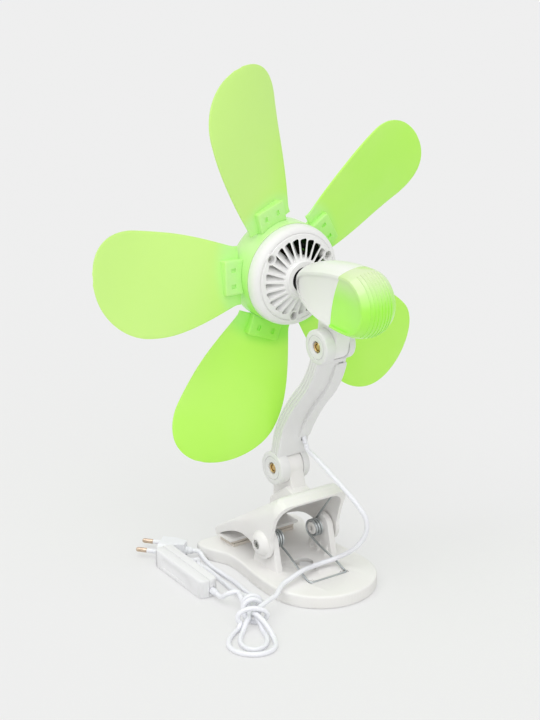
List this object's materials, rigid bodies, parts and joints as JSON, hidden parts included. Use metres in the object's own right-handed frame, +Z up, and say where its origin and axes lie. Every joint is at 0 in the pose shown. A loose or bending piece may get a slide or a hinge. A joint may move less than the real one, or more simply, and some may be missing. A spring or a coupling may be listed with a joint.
{
  "type": "clip fan",
  "caption": "Clip fan with a spring clamp that is also its stand, an S-shaped arm with two friction knuckles, an egg-shaped pod, a soft-bladed rotor and a mains lead with an in-line switch.",
  "frame": {"origin": "on the surface that the clamp stands on, under the middle of the clamp's cross web", "axes": "+Z up, -Y the way the fan blows, +X to the right when the fan is looked at along +Y from its front"},
  "size_m": [0.3231, 0.2247, 0.4264],
  "materials": {
    "white_plastic": "satin moulded",
    "lime_plastic": "glossy, slightly translucent",
    "mint_plastic": "glossy moulded",
    "soft_blade": "soft translucent, satin",
    "steel": "bright zinc",
    "brass": "bright",
    "dark_steel": "stamped laminations",
    "winding": "varnished copper wire",
    "magnet": "sintered ferrite",
    "pad_rubber": "matte ribbed",
    "cord_plastic": "smooth soft PVC"
  },
  "bodies": {
    "base": {"lower_jaw": "white_plastic", "lower_jaw_pad": "pad_rubber", "clamp_spring": "steel", "cord_run": "cord_plastic", "cord_knot": "cord_plastic", "plug_cord_loop": "cord_plastic", "switch_case_back": "white_plastic", "switch_case_front": "white_plastic", "switch_end_sleeve": "cord_plastic", "switch_side_sleeve": "cord_plastic", "switch_lead": "cord_plastic", "return_lead": "cord_plastic", "plug_lead": "cord_plastic", "plug_body": "cord_plastic", "plug_pin_1": "brass", "plug_pin_2": "brass"},
    "upper_jaw": {"upper_jaw": "white_plastic", "upper_jaw_pad": "pad_rubber", "clamp_screw_near": "steel", "clamp_screw_far": "steel"},
    "arm": {"arm": "white_plastic", "arm_wire_cover": "white_plastic", "arm_wire": "cord_plastic", "lower_knuckle_bolt": "steel", "lower_knuckle_nut": "brass", "upper_knuckle_bolt": "steel", "upper_knuckle_nut": "brass", "cord_drop": "cord_plastic"},
    "head": {"pod_front": "white_plastic", "pod_cap": "lime_plastic", "motor_stem": "steel", "stator_core": "dark_steel", "stator_winding": "winding"},
    "rotor": {"hub_shell": "mint_plastic", "front_bearing": "steel", "rear_bearing": "steel", "rotor_magnet": "magnet", "rear_cover": "white_plastic", "cover_screw_1": "steel", "cover_screw_2": "steel", "cover_screw_3": "steel", "blade_1": "soft_blade", "blade_2": "soft_blade", "blade_3": "soft_blade", "blade_4": "soft_blade", "blade_5": "soft_blade"},
    "rocker": {"switch_rocker": "white_plastic"}
  },
  "joints": [
    {"name": "clamp_hinge", "type": "hinge", "parent": "base", "child": "upper_jaw", "pos_m": [0, 0.0369, 0.0339], "axis": [-1, 0, 0], "range_deg": [0, 38], "stiffness_Nm_per_rad": 1.6, "springref_deg": -28.65, "deforming": ["clamp_spring", "cord_drop"]},
    {"name": "arm_hinge", "type": "hinge", "parent": "upper_jaw", "child": "arm", "pos_m": [0, 0.0236, 0.0912], "axis": [1, 0, 0], "range_deg": [-30, 30], "deforming": ["cord_drop"]},
    {"name": "head_hinge", "type": "hinge", "parent": "arm", "child": "head", "pos_m": [0, 0.0833, 0.2151], "axis": [-1, 0, 0], "range_deg": [0, 75]},
    {"name": "rotor_spin", "type": "hinge", "parent": "head", "child": "rotor", "pos_m": [0, 0.0166, 0.2583], "axis": [0, -1, 0], "continuous": true},
    {"name": "rocker_hinge", "type": "hinge", "parent": "base", "child": "rocker", "pos_m": [0.08197, 0.01707, 0.00825], "axis": [0, 0, 1], "range_deg": [0, 8]}
  ]
}
